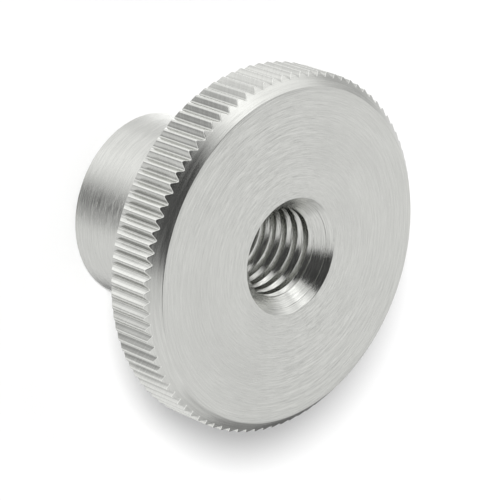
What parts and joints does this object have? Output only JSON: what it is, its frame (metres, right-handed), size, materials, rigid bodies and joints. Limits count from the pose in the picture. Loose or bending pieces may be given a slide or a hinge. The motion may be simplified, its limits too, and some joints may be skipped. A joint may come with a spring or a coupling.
{
  "type": "knurled thumb nut",
  "caption": "Knurled thumb nut: a flat disc with a straight-knurled rim on a round boss, with a threaded bore through both; turned by hand onto a screw.",
  "frame": {"origin": "middle of the boss's end face, which is the lowest plane of the part", "axes": "+Z along the bore's axis, from the boss end to the disc's open face; X and Y lie in the boss's end face"},
  "size_m": [0.03, 0.03, 0.0178],
  "materials": {
    "turned_steel": "bright, as turned, with fine concentric tool marks"
  },
  "bodies": {
    "root": {"thumb_nut": "turned_steel"}
  },
  "joints": []
}
